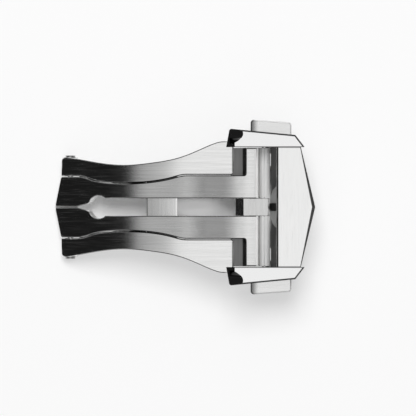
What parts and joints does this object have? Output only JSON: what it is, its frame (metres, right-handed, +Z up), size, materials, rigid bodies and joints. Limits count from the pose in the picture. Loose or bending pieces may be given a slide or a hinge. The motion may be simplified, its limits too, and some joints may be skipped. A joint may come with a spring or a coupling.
{
  "type": "deployant clasp",
  "caption": "Folding strap clasp with two arched blades, a push-button buckle with a pointed cover plate, and a pivoting tang.",
  "frame": {"origin": "centre of the bounding box, on the surface that the closed clasp rests on", "axes": "+X from the fold towards the buckle, +Y towards the rear cheek, +Z up"},
  "size_m": [0.0398, 0.0266, 0.0107],
  "materials": {
    "brushed_steel": "brushed",
    "polished_steel": "polished",
    "satin_steel": "satin",
    "turned_steel": "turned",
    "spring_steel": "drawn wire"
  },
  "bodies": {
    "outer": {"outer_blade": "brushed_steel", "crossbar": "brushed_steel", "fold_pin": "turned_steel", "fold_screws": "turned_steel"},
    "inner": {"inner_blade": "brushed_steel"},
    "buckle": {"cheek_rear": "polished_steel", "cheek_front": "polished_steel", "axle": "turned_steel", "guide_plate": "satin_steel", "guide_pins": "turned_steel", "cover_plate": "satin_steel", "cover_pins": "turned_steel", "spring_rear": "spring_steel", "spring_front": "spring_steel"},
    "button_rear": {"pusher_rear": "satin_steel", "hook_rear": "turned_steel", "hook_screw_rear": "turned_steel", "stop_pin_rear": "turned_steel"},
    "button_front": {"pusher_front": "satin_steel", "hook_front": "turned_steel", "hook_screw_front": "turned_steel", "stop_pin_front": "turned_steel"},
    "tang": {"tang": "satin_steel"}
  },
  "joints": [
    {"name": "fold_hinge", "type": "hinge", "parent": "outer", "child": "inner", "pos_m": [-0.0176, 0, 0.0012], "axis": [0, -1, 0], "range_deg": [0, 150]},
    {"name": "buckle_hinge", "type": "hinge", "parent": "inner", "child": "buckle", "pos_m": [0.01215, 0, 0.00672], "axis": [0, -1, 0], "range_deg": [-90, 0]},
    {"name": "rear_button_slide", "type": "slide", "parent": "buckle", "child": "button_rear", "axis": [0, -1, 0], "range_m": [0, 0.0008], "stiffness_N_per_m": 500, "springref_m": -0.002, "deforming": ["spring_rear"]},
    {"name": "front_button_slide", "type": "slide", "parent": "buckle", "child": "button_front", "axis": [0, 1, 0], "range_m": [0, 0.0008], "stiffness_N_per_m": 500, "springref_m": -0.002, "deforming": ["spring_front"]},
    {"name": "tang_hinge", "type": "hinge", "parent": "buckle", "child": "tang", "pos_m": [0.01215, 0, 0.00672], "axis": [0, 1, 0], "range_deg": [0, 18]}
  ],
  "couplings": [
    {"joint": "buckle_hinge", "follows": "fold_hinge", "ratio": -0.6}
  ]
}
